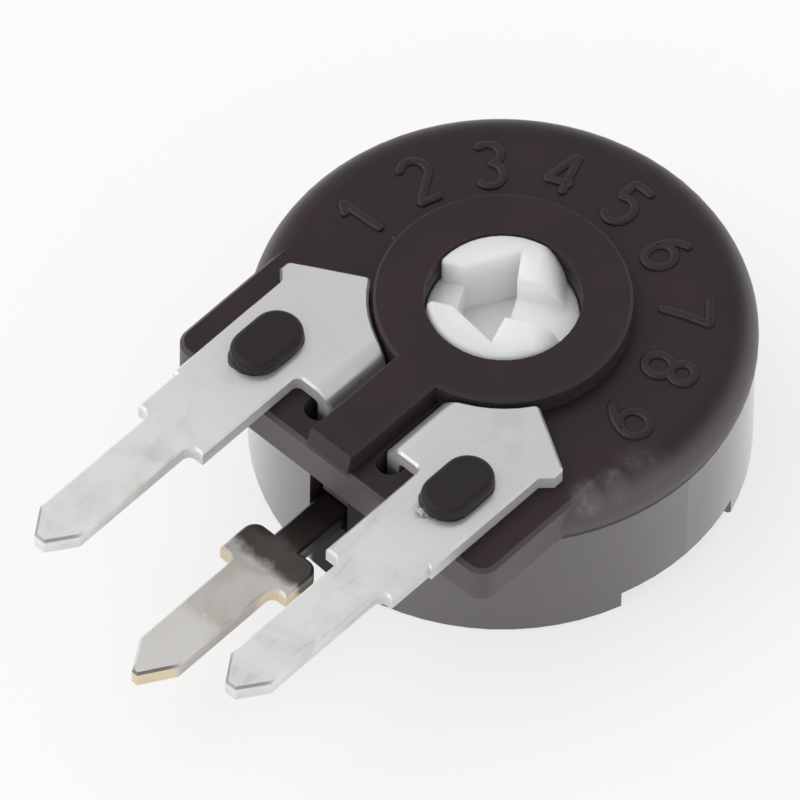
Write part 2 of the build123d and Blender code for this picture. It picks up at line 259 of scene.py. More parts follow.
class StageSettings(bpy.types.PropertyGroup):
    """Floor, light and camera."""

    floor_colour: colour_setting("Floor colour", "Colour of the plain floor", (0.95, 0.95, 0.95))
    paper_glow: share_setting(
        "Paper glow", "Share of plain white in the floor as it is seen and mirrored", 0.7)
    overhead: share_setting(
        "Overhead", "Brightness of the surroundings straight above, where the horizon is 1", 0.6)
    sky_strength: FloatProperty(
        name="Sky strength", description="Strength of the soft light from all round",
        min=0, default=0.95)
    lamp_level: FloatProperty(
        name="Lamp level",
        description="Light that the soft box adds on the floor, where 1 shows a colour as written",
        min=0, default=0.34)
    lamp_side: length_setting("Lamp side", "Side of the square soft box", 0.4)
    lamp_place: place_setting("Lamp place", "Where the soft box hangs", (-0.19, -0.12, 0.27))
    azimuth: angle_setting(
        "Azimuth", "The camera's turn round the part, from the side of the pins", 42.4346)
    elevation: angle_setting("Elevation", "The camera's height above the horizon", 53.3726)
    roll: angle_setting("Roll", "The camera's turn about its own line of sight", 0.9704)
    distance: length_setting("Distance", "From the camera to the point that it is set up on", 0.5)
    aim_height: length_setting("Aim height", "Height, on the rotor's axis, of that point", 4.17 * MM)
    pixels_per_mm: FloatProperty(
        name="Pixels per millimetre", description="Scale of the picture at that point",
        min=1, default=51.4143)
    aim_pixel: FloatVectorProperty(
        name="Aim pixel",
        description="Where that point lies in the picture, right and down from its middle",
        size=2, default=(103.0379, -100.5021))


class TrimmerSettings(bpy.types.PropertyGroup):
    """All settings of the trimmer."""

    moulding: PointerProperty(type=MouldingSettings)
    sheet: PointerProperty(type=SheetSettings)
    rotor: PointerProperty(type=RotorSettings)
    dial: PointerProperty(type=DialSettings)
    stake: PointerProperty(type=StakeSettings)
    stage: PointerProperty(type=StageSettings)


# Small helpers for node trees

def add(tree, kind, **values):
    """New node of a kind, with the named sockets and attributes set."""
    node = tree.nodes.new(kind)
    for name, value in values.items():
        if name in node.inputs:
            node.inputs[name].default_value = value
        else:
            setattr(node, name, value)
    return node


def math_node(tree, operation, first, second=None, clamp=False):
    """Math node on two sockets or numbers; returns its output."""
    node = add(tree, "ShaderNodeMath", operation=operation, use_clamp=clamp)
    for place, value in enumerate((first, second)):
        if isinstance(value, bpy.types.NodeSocket):
            tree.links.new(value, node.inputs[place])
        elif value is not None:
            node.inputs[place].default_value = value
    return node.outputs[0]


def blend_colour(tree, factor, first, second):
    """Colour mix of two sockets or colours by a factor's socket; returns its output."""
    node = add(tree, "ShaderNodeMix", data_type="RGBA")
    tree.links.new(factor, node.inputs[0])
    for place, value in ((6, first), (7, second)):
        if isinstance(value, bpy.types.NodeSocket):
            tree.links.new(value, node.inputs[place])
        else:
            node.inputs[place].default_value = (*value, 1)
    return node.outputs[2]


def span(tree, value, low, high, to_low=0.0, to_high=1.0, smooth=True):
    """Carries a value's range low to high over to another range, clamped at both ends."""
    node = add(tree, "ShaderNodeMapRange", interpolation_type="SMOOTHSTEP" if smooth else "LINEAR")
    tree.links.new(value, node.inputs["Value"])
    for name, number in (("From Min", low), ("From Max", high), ("To Min", to_low), ("To Max", to_high)):
        node.inputs[name].default_value = number
    return node.outputs["Result"]


def component(tree, vector, axis):
    """One component of a vector."""
    parts = tree.nodes.new("ShaderNodeSeparateXYZ")
    tree.links.new(vector, parts.inputs[0])
    return parts.outputs[axis]


def pattern(tree, kind, vector, size=None, **values):
    """Texture or mapping node on a vector; a size is a socket in millimetres. Returns its outputs."""
    node = add(tree, kind, **values)
    tree.links.new(vector, node.inputs["Vector"])
    if size is not None:
        tree.links.new(math_node(tree, "DIVIDE", 1.0 / MM, size), node.inputs["Scale"])
    return node.outputs


def new_group(name, inputs, outputs):
    """Shader node group with float inputs (name to default), a vector input and float outputs."""
    group = bpy.data.node_groups.new(name, "ShaderNodeTree")
    group.interface.new_socket("Vector", in_out="INPUT", socket_type="NodeSocketVector")
    for label, default in inputs.items():
        socket = group.interface.new_socket(label, in_out="INPUT", socket_type="NodeSocketFloat")
        socket.default_value = default
    for label in outputs:
        group.interface.new_socket(label, in_out="OUTPUT", socket_type="NodeSocketFloat")
    return group, group.nodes.new("NodeGroupInput"), group.nodes.new("NodeGroupOutput")


def place_group(tree, group, vector, **values):
    """Puts a group into a tree, fed with a vector and its own values; returns its outputs."""
    node = add(tree, "ShaderNodeGroup", node_tree=group)
    tree.links.new(vector, node.inputs["Vector"])
    for label, value in values.items():
        node.inputs[label.replace("_", " ")].default_value = value
    return node.outputs


def new_material(name):
    """Empty material with a Principled shader; returns it, its tree, the shader and Object coordinates."""
    material = bpy.data.materials.new(name)
    material.use_nodes = True
    tree = material.node_tree
    tree.nodes.clear()
    shader = tree.nodes.new("ShaderNodeBsdfPrincipled")
    output = tree.nodes.new("ShaderNodeOutputMaterial")
    tree.links.new(shader.outputs["BSDF"], output.inputs["Surface"])
    place = tree.nodes.new("ShaderNodeTexCoord").outputs["Object"]
    return material, tree, shader, place


def bump(tree, shader, height, depth):
    """Feeds a height of 0 to 1 into the shader's normal, as a relief of a depth in metres."""
    node = add(tree, "ShaderNodeBump", Strength=1.0, Distance=depth)
    tree.links.new(height, node.inputs["Height"])
    tree.links.new(node.outputs["Normal"], shader.inputs["Normal"])


def put(name, data):
    """New object in the scene that shows a mesh, a light or a camera."""
    item = bpy.data.objects.new(name, data)
    bpy.context.scene.collection.objects.link(item)
    return item


def dress(material, *nodes):
    """Gives solids of the frame a material."""
    for name in nodes:
        frame["nodes"][name].data.materials.clear()
        frame["nodes"][name].data.materials.append(material)


# Effects that several materials share

def grain_group():
    """Eroded mould grain: fine noise for relief, and a slow noise for tone."""
    group, source, sink = new_group(
        "mould_grain", {"Grain Size": 0.06, "Flow Size": 1.6}, ("Height", "Tone"))
    for label, output, detail in (("Grain Size", "Height", 3.0), ("Flow Size", "Tone", 4.0)):
        noise = pattern(group, "ShaderNodeTexNoise", source.outputs["Vector"], source.outputs[label],
                        Detail=detail, Roughness=0.55)
        group.links.new(noise["Fac"], sink.inputs[output])
    return group


def speck_group():
    """Scattered specks of dust: small discs in a share of the cells of a cell pattern."""
    group, source, sink = new_group(
        "dust_specks", {"Spacing": 0.7, "Share": 0.2, "Speck Size": 0.09}, ("Mask",))
    cells = pattern(group, "ShaderNodeTexVoronoi", source.outputs["Vector"], source.outputs["Spacing"],
                    feature="F1", Randomness=1.0)
    chance = group.nodes.new("ShaderNodeSeparateColor")
    group.links.new(cells["Color"], chance.inputs["Color"])
    chosen = math_node(group, "LESS_THAN", chance.outputs["Red"], source.outputs["Share"])
    size = math_node(group, "MULTIPLY", source.outputs["Speck Size"], chance.outputs["Green"])
    inside = math_node(group, "SUBTRACT", size, cells["Distance"])
    steepness = 40.0
    soft = math_node(group, "MULTIPLY", inside, steepness, clamp=True)
    group.links.new(both(group, chosen, soft), sink.inputs["Mask"])
    return group


def stain_group():
    """Handling of sheet metal: cloudy stains, fine rolling lines along Y and a few short scratches."""
    group, source, sink = new_group(
        "sheet_handling", {"Stain Size": 1.1, "Line Size": 0.03, "Scratches": 0.5},
        ("Cloud", "Lines", "Scratch"))
    vector = source.outputs["Vector"]
    cloud = pattern(group, "ShaderNodeTexNoise", vector, source.outputs["Stain Size"],
                    Detail=3.0, Roughness=0.5, Distortion=0.4)["Fac"]
    group.links.new(cloud, sink.inputs["Cloud"])

    drawn_out = pattern(group, "ShaderNodeMapping", vector, Scale=(1.0, 0.02, 1.0))["Vector"]
    lines = pattern(group, "ShaderNodeTexNoise", drawn_out, source.outputs["Line Size"], Detail=2.0)
    group.links.new(lines["Fac"], sink.inputs["Lines"])

    slant = math.radians(35)
    scratch_spacing = 0.5 * MM
    scratch_width = 0.05
    slanted = pattern(group, "ShaderNodeMapping", vector,
                      Rotation=(0, 0, slant), Scale=(1.0, 0.12, 1.0))["Vector"]
    cells = pattern(group, "ShaderNodeTexVoronoi", slanted,
                    feature="DISTANCE_TO_EDGE", Scale=1.0 / scratch_spacing)
    thin = span(group, cells["Distance"], 0.0, scratch_width, 1.0, 0.0)
    broken = both(group, thin, span(group, cloud, 0.52, 0.62))
    group.links.new(both(group, broken, source.outputs["Scratches"]), sink.inputs["Scratch"])
    return group


def edge_group():
    """Mask of convex and concave edges: how far a normal rounded over a radius leaves the surface's own."""
    group, source, sink = new_group("rounded_edges", {"Radius": 0.06, "Gain": 6.0}, ("Mask",))
    rounded = add(group, "ShaderNodeBevel", samples=6)
    radius = math_node(group, "MULTIPLY", source.outputs["Radius"], MM)
    group.links.new(radius, rounded.inputs["Radius"])
    surface = group.nodes.new("ShaderNodeNewGeometry")
    agree = add(group, "ShaderNodeVectorMath", operation="DOT_PRODUCT")
    group.links.new(rounded.outputs["Normal"], agree.inputs[0])
    group.links.new(surface.outputs["Normal"], agree.inputs[1])
    off = math_node(group, "SUBTRACT", 1.0, agree.outputs["Value"])
    mask = math_node(group, "MULTIPLY", off, source.outputs["Gain"], clamp=True)
    group.links.new(mask, sink.inputs["Mask"])
    return group


def shared(name):
    """The shared effect of that name, made on first use."""
    makers = {
        "mould_grain": grain_group,
        "dust_specks": speck_group,
        "sheet_handling": stain_group,
        "rounded_edges": edge_group,
    }
    return bpy.data.node_groups.get(name) or makers[name]()


# Masks and layers of paint

def tinted(colour, shares):
    """A colour with its red, green and blue each taken by a share of its own."""
    return tuple(part * share for part, share in zip(colour, shares))


def darker(colour, share):
    """A colour taken by one share."""
    return tuple(part * share for part in colour)


def both(tree, first, second):
    """Product of two masks, or of a mask and a share."""
    return math_node(tree, "MULTIPLY", first, second)


def either(tree, first, second):
    """The stronger of two masks."""
    return math_node(tree, "MAXIMUM", first, second)


def inverse(tree, mask):
    """Mask of all that another mask leaves out."""
    return math_node(tree, "SUBTRACT", 1.0, mask)


def facing_up(tree, slope):
    """Mask of faces that look up: the normal's Z carried over a slope's range."""
    normal = tree.nodes.new("ShaderNodeNewGeometry").outputs["Normal"]
    return span(tree, component(tree, normal, "Z"), *slope)


def near(tree, place, centre, radius, softness):
    """Mask of what lies within a radius of a point, fading out over a softness, all in metres."""
    gap = add(tree, "ShaderNodeVectorMath", operation="DISTANCE")
    tree.links.new(place, gap.inputs[0])
    gap.inputs[1].default_value = centre
    return span(tree, gap.outputs["Value"], radius - softness, radius + softness, 1.0, 0.0)


def past(tree, place, axis, band, level=0.0):
    """Mask along one axis, 0 before a band and 1 past it; the band is counted from a level, in metres."""
    return span(tree, component(tree, place, axis), level + band[0], level + band[1])


def die_roll(tree):
    """Mask of the slanted roll round a stamped sheet's upper face, between its sides and its top."""
    return both(tree, facing_up(tree, ROLL_FOOT), inverse(tree, facing_up(tree, ROLL_TOP)))


def frost_patch(tree, place):
    """Mask of the frosted patch by the right ear: the strongest of its soft spots."""
    spots = [both(tree, near(tree, place, centre, radius, softness), share)
             for centre, radius, softness, share in FROST_SPOTS]
    patch = spots[0]
    for spot in spots[1:]:
        patch = either(tree, patch, spot)
    return patch


def paint(tree, painted, mask, colour, share=1.0):
    """Lays a colour over what is painted so far, where a mask says and as strongly as a share."""
    return blend_colour(tree, both(tree, mask, share), painted, colour)


def feed(tree, shader, **sockets):
    """Links outputs to the shader's sockets of those names."""
    for name, output in sockets.items():
        tree.links.new(output, shader.inputs[name.replace("_", " ")])


def stake_places(stake):
    """X and Y of the left and of the right stake."""
    return [(side * stake.place[0], stake.place[1]) for side in SIDES]


# Materials

def black_moulding(name, colour, roughness, grain_depth, dust_share, edge_highlight):
    """Black moulded plastic: grain, slow flow tone, a painted highlight that makes the edges paler, and a
    little dust on top.

    Returns the material, its tree, the shader, Object coordinates, and the sockets of its colour
    and its roughness.
    """
    material, tree, shader, place = new_material(name)
    grain = place_group(tree, shared("mould_grain"), place, Grain_Size=0.05, Flow_Size=2.2)
    edges = place_group(tree, shared("rounded_edges"), place, Radius=0.05, Gain=3.0)["Mask"]
    specks = place_group(tree, shared("dust_specks"), place, Share=dust_share)["Mask"]
    warm = tinted(colour, (1.3, 1.0, 1.02))
    cool = tinted(colour, (0.85, 0.95, 0.98))
    painted = blend_colour(tree, span(tree, grain["Tone"], *MID_TONE), cool, warm)
    # painted highlight: the edges are made paler
    painted = paint(tree, painted, edges, PLASTIC_EDGE_HIGHLIGHT, share=edge_highlight)
    dusty = both(tree, specks, facing_up(tree, DUST_SLOPE))
    painted = paint(tree, painted, dusty, DUST, share=0.3)
    uneven = span(tree, grain["Tone"], 0.25, 0.75, roughness - 0.05, roughness + 0.06)
    bump(tree, shader, grain["Height"], grain_depth)
    return material, tree, shader, place, painted, uneven


def cover_plastic(settings, stake, ring):
    """Matt cover: painted light that makes its rim and sides paler, frosted by one ear, black where the
    stakes were melted.
    """
    material, tree, shader, place, painted, uneven = black_moulding(
        "cover_plastic", settings.cover_colour, settings.cover_roughness,
        grain_depth=0.0035 * MM, dust_share=0.13, edge_highlight=0.4)
    shader.inputs["IOR"].default_value = 1.36
    above_ring = past(tree, place, "Z", HUB_STEP, ring)
    # painted light: faces that turn away from the top are made paler, a quarter as much above the flat ring
    lit_rim = inverse(tree, facing_up(tree, RIM_SLOPE))
    lit_rim = both(tree, lit_rim, span(tree, above_ring, 0.0, 1.0, 1.0, 0.25))
    painted = paint(tree, painted, lit_rim, PAINTED_RIM_LIGHT, share=0.85)
    scuff = place_group(tree, shared("mould_grain"), place, Grain_Size=0.16, Flow_Size=0.5)
    mottled = both(tree, span(tree, scuff["Height"], 0.4, 0.62), span(tree, scuff["Tone"], 0.35, 0.6))
    frosted = both(tree, frost_patch(tree, place), span(tree, mottled, 0.0, 1.0, 0.5, 1.0))
    painted = paint(tree, painted, frosted, FROST, share=0.85)
    head = ring + 0.5 * MM
    by_stakes = either(tree, *(
        near(tree, place, (*spot, head), *STAKE_HEAD) for spot in stake_places(stake)))
    melted = both(tree, past(tree, place, "Z", STAKE_FOOT, ring), by_stakes)
    painted = paint(tree, painted, melted, MELTED, share=0.6)
    dull = math_node(tree, "ADD", uneven, both(tree, frosted, 0.15))
    feed(tree, shader, Base_Color=painted, Roughness=dull)
    return material


def cup_plastic(settings):
    """Glossy cup with a polished skin, and painted shade by the wiper terminal's neck and in its groove."""
    material, tree, shader, place, painted, uneven = black_moulding(
        "cup_plastic", settings.cup_colour, settings.cup_roughness,
        grain_depth=0.0006 * MM, dust_share=0.05, edge_highlight=0.25)
    shader.inputs["IOR"].default_value = 1.6
    shader.inputs["Coat Roughness"].default_value = 0.18
    to_right = inverse(tree, past(tree, place, "X", NECK_RIGHT))
    in_front = inverse(tree, past(tree, place, "Y", FRONT_WALL))
    shade_by_neck = both(tree, in_front, both(tree, past(tree, place, "X", NECK_LEFT), to_right))
    # painted shade on the wall by the neck, where the coat is also taken off and the plastic made rougher
    painted = paint(tree, painted, shade_by_neck, PAINTED_SHADE)
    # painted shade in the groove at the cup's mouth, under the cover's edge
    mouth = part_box("housing_cup")[1][2]
    painted = paint(tree, painted, past(tree, place, "Z", CUP_GROOVE, mouth), PAINTED_SHADE)
    skin = span(tree, shade_by_neck, 0.0, 1.0, 0.95, 0.0)
    dull = either(tree, uneven, both(tree, shade_by_neck, 0.9))
    feed(tree, shader, Base_Color=painted, Roughness=dull, Coat_Weight=skin)
    return material


def figure_plastic(settings):
    """The cover's plastic as it is on the raised figures, a little smoother."""
    material, tree, shader, _, painted, uneven = black_moulding(
        "figure_plastic", settings.cover_colour, settings.cover_roughness - 0.06,
        grain_depth=0.002 * MM, dust_share=0.0, edge_highlight=0.08)
    shader.inputs["IOR"].default_value = 1.4
    feed(tree, shader, Base_Color=painted, Roughness=uneven)
    return material


def tin_coat(name, colour, roughness, top):
    """Tin plated sheet: cloudy stains, rolling lines, scratches, a painted highlight along the edges, and
    sheared sides.

    The upper half of a sheared side is burnished and the lower half is a duller fracture, and both
    scatter light more than the rolled faces do.
    Returns the material, its tree, the shader, Object coordinates, and the sockets of its colour
    and its sides.
    """
    material, tree, shader, place = new_material(name)
    marks = place_group(tree, shared("sheet_handling"), place, Scratches=0.4)
    edges = place_group(tree, shared("rounded_edges"), place, Radius=0.05, Gain=4.0)["Mask"]
    pits = place_group(
        tree, shared("dust_specks"), place, Spacing=0.6, Share=0.15, Speck_Size=0.1)["Mask"]
    dull = tinted(colour, (0.82, 0.82, 0.80))
    torn_tin = darker(colour, 0.6)
    painted = blend_colour(tree, span(tree, marks["Cloud"], 0.38, 0.68), colour, dull)
    painted = paint(tree, painted, marks["Scratch"], torn_tin)
    painted = paint(tree, painted, pits, PITTED_TIN, share=0.25)
    # painted highlight along the sheet's edges
    painted = paint(tree, painted, edges, TIN_EDGE_HIGHLIGHT, share=0.6)
    sides = inverse(tree, facing_up(tree, SIDE_SLOPE))
    burnished = past(tree, place, "Z", BURNISH_END, top - SHEET / 2)
    fracture = both(tree, sides, inverse(tree, burnished))
    painted = paint(tree, painted, fracture, torn_tin, share=0.12)
    satin = span(tree, marks["Cloud"], 0.3, 0.75, roughness - 0.07, roughness + 0.1)
    uneven = math_node(tree, "ADD", satin, both(tree, fracture, 0.2))
    feed(tree, shader, Metallic=span(tree, sides, 0.0, 1.0, 0.72, 0.3), Roughness=uneven)
    relief = math_node(tree, "ADD", marks["Cloud"], both(tree, marks["Lines"], 0.12))
    relief = math_node(tree, "SUBTRACT", relief, both(tree, marks["Scratch"], 0.2))
    bump(tree, shader, relief, 0.003 * MM)
    return material, tree, shader, place, painted, sides


def end_sheet(settings, stake, top):
    """Tin of the end terminals: darker toward the head and round the stakes, smeared and stained, with
    painted shade on the bent flaps and on the left head's outer side, and a painted dark reflection on the
    tips' roll.
    """
    colour = tuple(settings.tin_colour)
    material, tree, shader, place, painted, _ = tin_coat(
        "tinned_sheet", colour, settings.roughness, top)
    grain = place_group(tree, shared("mould_grain"), place, Grain_Size=0.12, Flow_Size=0.45)
    toward_head = past(tree, place, "Y", HEAD_FADE)
    painted = paint(tree, painted, toward_head, darker(colour, 0.74), share=0.75)
    bent_down = inverse(tree, past(tree, place, "Z", FLAP_BEND, top))
    painted = paint(tree, painted, bent_down, FLAP_SHADE, share=0.8)
    outermost = inverse(tree, past(tree, place, "X", RECESS_SIDE))
    in_recess = both(tree, outermost, past(tree, place, "Y", RECESS_FRONT))
    hidden_side = both(tree, in_recess, inverse(tree, facing_up(tree, RECESS_SLOPE)))
    painted = paint(tree, painted, hidden_side, RECESS_SHADE)
    # painted dark reflection on the roll at the tips
    tip_roll = both(tree, die_roll(tree), inverse(tree, past(tree, place, "Y", END_TIP)))
    painted = paint(tree, painted, tip_roll, END_TIP_DARK_REFLECTION, share=0.65)
    for spot in stake_places(stake):
        ring = near(tree, place, (*spot, top), *STAKE_RING)
        painted = paint(tree, painted, ring, darker(colour, 0.78), share=0.3)
    spot, size = HEAD_STAIN
    stained = both(tree, near(tree, place, (*spot, top), *size), span(tree, grain["Tone"], 0.42, 0.6))
    painted = paint(tree, painted, stained, darker(colour, 0.68), share=0.5)
    spot, size = SMEAR_SPOT
    smear = both(tree, near(tree, place, (*spot, top), *size), span(tree, grain["Height"], 0.4, 0.55))
    painted = paint(tree, painted, smear, STAKE_SMEAR, share=0.85)
    feed(tree, shader, Base_Color=painted)
    return material


def wandering(tree, place, noise, reach):
    """Object coordinates that a noise pushes to and fro along Y, by a reach at most, in metres."""
    shift = add(tree, "ShaderNodeCombineXYZ")
    tree.links.new(span(tree, noise, *MID_TONE, -reach, reach), shift.inputs["Y"])
    moved = add(tree, "ShaderNodeVectorMath", operation="ADD")
    tree.links.new(place, moved.inputs[0])
    tree.links.new(shift.outputs[0], moved.inputs[1])
    return moved.outputs[0]


def wiper_sheet(settings, top):
    """Thin tin of the wiper terminal: painted shade where its crossbar and neck run in by the housing and
    along its pin's sides, a painted dark reflection on its tip, bare at its sheared ends, dipped.
    """
    colour = tuple(settings.dull_tin_colour)
    material, tree, shader, place, painted, sides = tin_coat(
        "wiper_sheet", colour, settings.roughness, top)
    grain = place_group(tree, shared("mould_grain"), place, Grain_Size=0.12, Flow_Size=0.6)
    wavy = wandering(tree, place, grain["Tone"], 0.12 * MM)
    dipped = inverse(tree, past(tree, wavy, "Y", WIPER_DIP))
    painted = paint(tree, painted, dipped, DIPPED_TIN, share=0.55)
    at_tip = inverse(tree, past(tree, place, "Y", WIPER_TIP))
    at_ends = either(tree, past(tree, place, "Y", WIPER_BAR), at_tip)
    # painted shade along the pin's sheared sides
    along_pin = both(tree, sides, span(tree, at_ends, 0.0, 1.0, 0.6, 0.0))
    painted = paint(tree, painted, along_pin, PIN_SIDE_SHADE)
    bare = both(tree, sides, span(tree, at_ends, 0.0, 1.0, 0.05, 0.65))
    painted = paint(tree, painted, bare, tuple(settings.brass_colour))
    # painted dark reflection on the roll at the tip, right of its point
    right_of_point = both(tree, at_tip, past(tree, place, "X", WIPER_POINT))
    tip_roll = both(tree, die_roll(tree), right_of_point)
    painted = paint(tree, painted, tip_roll, WIPER_TIP_DARK_REFLECTION, share=0.8)
    # painted shade and dark reflection where the crossbar and neck run in under the housing
    painted = paint(tree, painted, past(tree, wavy, "Y", CROSSBAR_SHADE_START), CROSSBAR_SHADE, share=0.93)
    painted = paint(tree, painted, past(tree, wavy, "Y", NECK_SHADE_START), NECK_SHADE, share=0.85)
    feed(tree, shader, Base_Color=painted)
    return material


def white_rotor(settings, top):
    """White moulded plastic that lets light in a little way, handled on top, and made whiter in the socket by
    painted light.
    """
    material, tree, shader, place = new_material("rotor_plastic")
    grain = place_group(tree, shared("mould_grain"), place, Grain_Size=0.08, Flow_Size=0.9)
    colour = tuple(settings.colour)
    shade = tinted(colour, (0.955, 0.96, 0.965))
    handled = blend_colour(tree, span(tree, grain["Tone"], 0.35, 0.7), colour, shade)
    # painted light: faces below the top, in the socket, are made whiter
    painted = blend_colour(tree, past(tree, place, "Z", ROTOR_TOP, top), SOCKET_PAINTED_LIGHT, handled)
    satin = span(tree, grain["Tone"], *MID_TONE, settings.roughness - 0.05, settings.roughness + 0.07)
    feed(tree, shader, Base_Color=painted, Roughness=satin)
    shader.inputs["Subsurface Weight"].default_value = 1.0
    shader.inputs["Subsurface Radius"].default_value = (1.0, 0.95, 0.9)
    shader.inputs["Subsurface Scale"].default_value = settings.glow_depth
    bump(tree, shader, grain["Height"], 0.002 * MM)
    return material


def plain_inner(name, colour, roughness, metallic, grain_size):
    """Finish of a piece inside the housing: one colour broken by a fine grain."""
    material, tree, shader, place = new_material(name)
    shader.inputs["Metallic"].default_value = metallic
    grain = place_group(tree, shared("mould_grain"), place, Grain_Size=grain_size, Flow_Size=0.8)
    painted = blend_colour(tree, span(tree, grain["Tone"], *MID_TONE), darker(colour, 0.75), colour)
    uneven = span(tree, grain["Tone"], *MID_TONE, roughness - 0.06, roughness + 0.06)
    feed(tree, shader, Base_Color=painted, Roughness=uneven)
    bump(tree, shader, grain["Height"], 0.003 * MM)
    return material


# Raised figures

def arc(centre, radii, start, end, count=24):
    """Points of an ellipse's arc: centre plus the radii times cosine and sine of angles in degrees."""
    turn = np.radians(np.linspace(start, end, count))
    return np.stack([centre[0] + radii[0] * np.cos(turn), centre[1] + radii[1] * np.sin(turn)], 1)


def figure_strokes(figure):
    """The one stroke of a figure from 1 to 9, in a cell one wide and one high."""
    loop_below = arc((0.5, 0.3), (0.44, 0.3), 180, 540, 40)
    six = np.concatenate([arc((0.95, 0.3), (0.89, 0.7), 112, 180), loop_below])
    strokes = {
        1: np.array([(0.2, 0.76), (0.52, 1.0), (0.52, 0.0)]),
        2: np.concatenate([arc((0.48, 0.71), (0.42, 0.29), 165, -32), np.array([(0.06, 0.0), (0.96, 0.0)])]),
        3: np.concatenate([arc((0.44, 0.76), (0.38, 0.24), 150, -80),
                           arc((0.44, 0.27), (0.46, 0.27), 75, -155)]),
        4: np.array([(0.72, 0.0), (0.72, 1.0), (0.04, 0.3), (0.98, 0.3)]),
        5: np.concatenate([np.array([(0.88, 1.0), (0.2, 1.0)]), arc((0.46, 0.32), (0.46, 0.32), 128, -150)]),
        6: six,
        7: np.array([(0.06, 1.0), (0.96, 1.0), (0.36, 0.0)]),
        8: np.concatenate([arc((0.5, 0.27), (0.44, 0.27), 90, -270, 40),
                           arc((0.5, 0.77), (0.36, 0.23), -90, 270, 40)]),
        9: 1.0 - six,
    }
    return strokes[figure]


def even_path(points, count):
    """Points spaced evenly along a run of points, by length from its start, with corners eased."""
    steps = np.linalg.norm(np.diff(points, axis=0), axis=1)
    length = np.concatenate([[0.0], np.cumsum(steps)])
    even = np.linspace(0.0, length[-1], count)
    path = np.stack([np.interp(even, length, points[:, axis]) for axis in (0, 1)], 1)
    eased = path.copy()
    eased[1:-1] = (path[:-2] + 2.0 * path[1:-1] + path[2:]) / 4.0
    return eased


def ridge(path, level, half_width, rise, sink, around=12):
    """Closed ridge along a flat path.

    Across the path the profile is a flattened round, x = cos(a) and z = sin(a) to a power below 1, on a
    flat foot that is sunk below the level. Along the path the width shrinks as a quarter circle at both
    ends, so the ridge ends in a round nose.
    """
    flatness = 0.6
    run = np.concatenate([[0.0], np.cumsum(np.linalg.norm(np.diff(path, axis=0), axis=1))])
    to_end = np.minimum(run, run[-1] - run)
    nose = np.clip(to_end / half_width, 0.0, 1.0)
    width = half_width * np.sqrt(np.clip(1.0 - (1.0 - nose) ** 2, 0.0, 1.0))
    along = np.gradient(path, axis=0)
    along /= np.linalg.norm(along, axis=1, keepdims=True)
    across = np.stack([along[:, 1], -along[:, 0]], 1)
    turn = np.linspace(0.0, np.pi, around)
    side = np.concatenate([np.cos(turn), [-1.0, 1.0]])
    up = np.concatenate([rise * np.sin(turn) ** flatness, [-sink, -sink]])
    keep = slice(1, -1)
    flat = path[keep, None, :] + across[keep, None, :] * (width[keep, None] * side)[:, :, None]
    height = np.broadcast_to(level + up, flat.shape[:2])
    rings = np.concatenate([flat, height[:, :, None]], 2)
    count, size = rings.shape[:2]
    poles = np.concatenate([path[[0, -1]], np.full((2, 1), level)], 1)
    points = np.concatenate([rings.reshape(-1, 3), poles])
    row = np.arange(count - 1)[:, None] * size
    column = np.arange(size)
    beside = (column + 1) % size
    quads = np.stack([row + column, row + beside, row + size + beside, row + size + column], 2).reshape(-1, 4)
    first = np.stack([beside, column, np.full(size, count * size)], 1)
    last_row = (count - 1) * size
    last = np.stack([last_row + column, last_row + beside, np.full(size, count * size + 1)], 1)
    return points, quads, np.concatenate([first, last])


def flash_ring(settings, side, level, count=160, around=10):
    """Closed ring of flash round one stake.

    The path is the stake's outline: x = r cos(t) and y = r sin(t) + h tanh(k sin(t)), where r is half
    the width, h half the straight run and k how tightly its ends turn. The profile is a low mound from
    inside the stake out to a width, on a flat foot. Width and height swell and fade along the path by
    a sum of four sines, each with its times round, share and phase, and most at the front.
    """
    tightness = 6.0
    front = np.radians(250)
    least = 0.35
    slump = 1.4
    inside = 0.05 * MM
    foot_depth = 0.012 * MM
    turn = np.linspace(0.0, 2.0 * np.pi, count, endpoint=False)
    radius = settings.width / 2
    straight = (settings.length - settings.width) / 2
    out = np.stack([np.cos(turn), np.sin(turn)], 1)
    path = radius * out
    path[:, 1] += straight * np.tanh(tightness * np.sin(turn))
    waves = np.array([[2, 0.5, 0.3], [3, 0.35, 1.9], [7, 0.25, 4.1], [13, 0.2, 2.6]])
    swell = sum(share * np.sin(times * turn + phase + side) for times, share, phase in waves)
    toward = least + (1.0 - least) * np.clip(np.cos(turn - front), 0.0, 1.0) ** 2
    swell = np.clip(0.4 + 0.55 * swell, 0.05, 1.0) * toward
    across = np.linspace(0.0, 1.0, around)
    mound = np.cos(across * np.pi / 2) ** slump
    reach = swell[:, None] * settings.flash_width * across - inside * (1.0 - across)
    height = level + swell[:, None] * settings.flash_height * mound
    foot = np.full((count, 1), level - foot_depth)
    reach = np.concatenate([reach, reach[:, -1:], reach[:, :1]], 1)
    height = np.concatenate([height, foot, foot], 1)
    middle = np.array([side * settings.place[0], settings.place[1]])
    flat = middle + path[:, None, :] + out[:, None, :] * reach[:, :, None]
    rings = np.concatenate([flat, height[:, :, None]], 2)
    size = rings.shape[1]
    row = np.arange(count)[:, None] * size
    beyond = (np.arange(count)[:, None] + 1) % count * size
    column = np.arange(size)
    beside = (column + 1) % size
    quads = np.stack([row + column, beyond + column, beyond + beside, row + beside], 2).reshape(-1, 4)
    return rings.reshape(-1, 3), quads, np.empty((0, 3), int)


